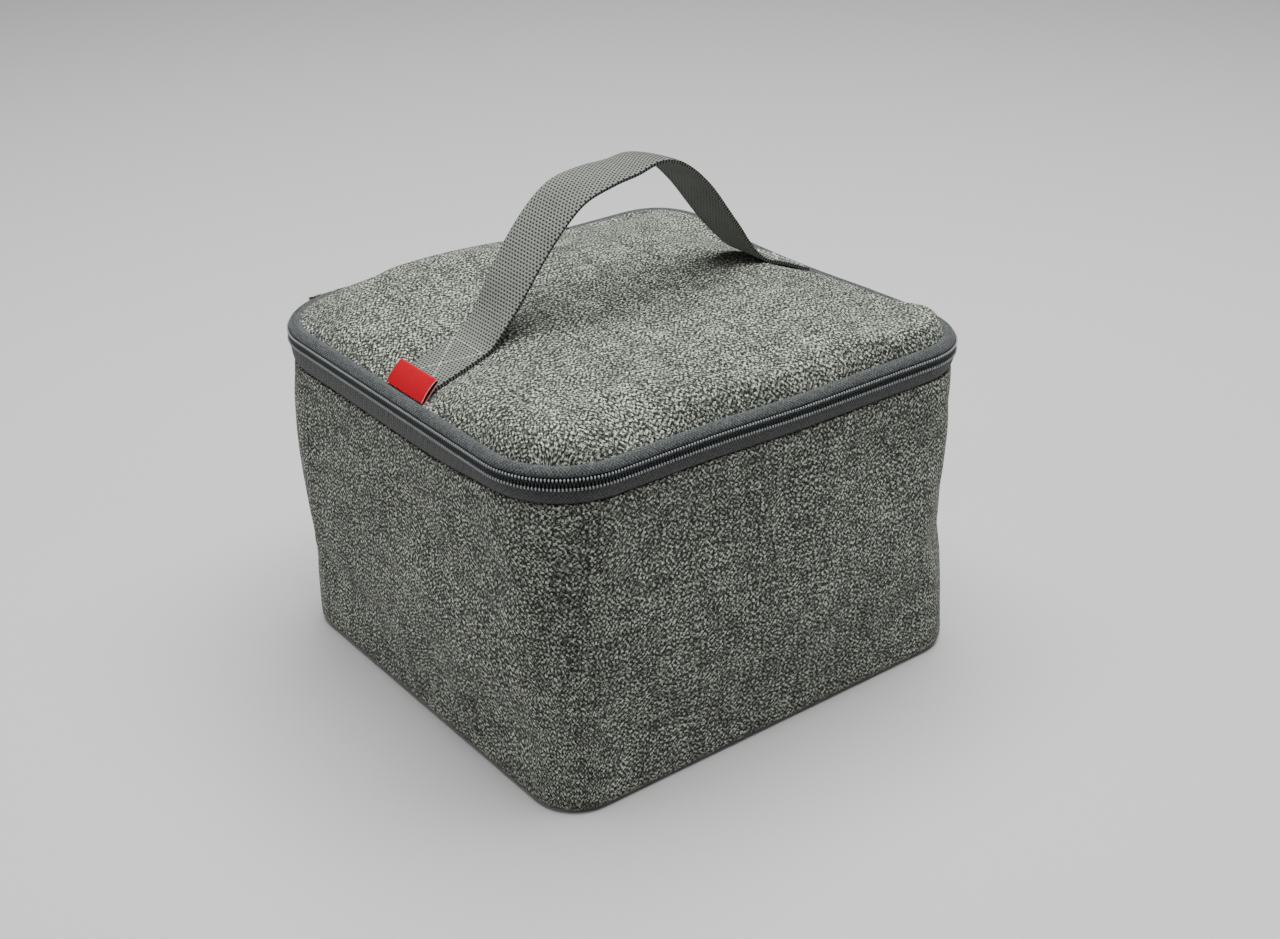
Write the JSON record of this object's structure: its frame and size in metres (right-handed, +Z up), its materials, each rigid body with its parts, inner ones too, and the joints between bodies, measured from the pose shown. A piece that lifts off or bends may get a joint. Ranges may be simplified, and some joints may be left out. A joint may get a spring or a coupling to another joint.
{
  "type": "insulated bento bag",
  "caption": "Soft padded box bag with a zipped, crowned lid that folds at the back, a webbing loop handle across the lid and a plain red side label.",
  "frame": {"origin": "middle of the base, on the surface that the bag stands on", "axes": "+Z up; +X towards the bag's right side, so the handle runs along X; +Y towards the back, where the lid folds"},
  "size_m": [0.2457, 0.2329, 0.2367],
  "materials": {
    "fabric": "melange grey woven polyester",
    "webbing": "grey ribbed webbing",
    "zip_tape": "blue-grey woven zip tape",
    "zip_coil": "dark nylon coil",
    "thread": "pale grey sewing thread",
    "foam": "white closed-cell foam",
    "lining": "pale insulating film",
    "binding": "dark woven binding tape",
    "label": "red woven label, bare",
    "slider_metal": "pale plated metal",
    "pull_metal": "dark painted metal"
  },
  "bodies": {
    "box": {"outer_wall": "fabric", "outer_base": "fabric", "wall_foam": "foam", "base_foam": "foam", "wall_lining": "lining", "base_lining": "lining", "body_binding": "binding", "lower_zip_tape": "zip_tape", "lower_zip_coil": "zip_coil", "hinge_panel": "fabric", "hinge_lining": "lining", "zip_end_tape_left": "zip_tape", "zip_end_tape_right": "zip_tape", "zip_end_coil_left": "zip_coil", "zip_end_coil_right": "zip_coil"},
    "slider": {"zip_slider": "slider_metal"},
    "pull": {"zip_pull": "pull_metal"},
    "lid": {"lid_panel": "fabric", "lid_foam": "foam", "lid_lining": "lining", "lid_binding": "binding", "upper_zip_tape": "zip_tape", "upper_zip_coil": "zip_coil", "handle_end_left": "webbing", "handle_end_right": "webbing", "handle_tack_left": "thread", "handle_tack_right": "thread"},
    "label": {"side_label": "label"},
    "handle": {"handle_strap": "webbing", "handle_bend_left": "webbing", "handle_bend_right": "webbing"}
  },
  "joints": [
    {"name": "lid_hinge", "type": "hinge", "parent": "box", "child": "lid", "pos_m": [0, 0.10815, 0.1625], "axis": [-1, 0, 0], "range_deg": [0, 140]},
    {"name": "zip_slide", "type": "slide", "parent": "box", "child": "slider", "axis": [1, 0, 0], "range_m": [0, 0.028]},
    {"name": "pull_flip", "type": "hinge", "parent": "slider", "child": "pull", "pos_m": [-0.087, 0.1165, 0.1575], "axis": [0, 0, 1], "range_deg": [0, 170]},
    {"name": "handle_tilt", "type": "hinge", "parent": "lid", "child": "handle", "pos_m": [0, 0, 0.174], "axis": [1, 0, 0], "range_deg": [-40, 40], "stiffness_Nm_per_rad": 0.05, "deforming": ["handle_bend_left", "handle_bend_right"]},
    {"name": "label_lift", "type": "hinge", "parent": "lid", "child": "label", "pos_m": [-0.119, -0.006, 0.1631], "axis": [0, -1, 0], "range_deg": [0, 90]}
  ]
}
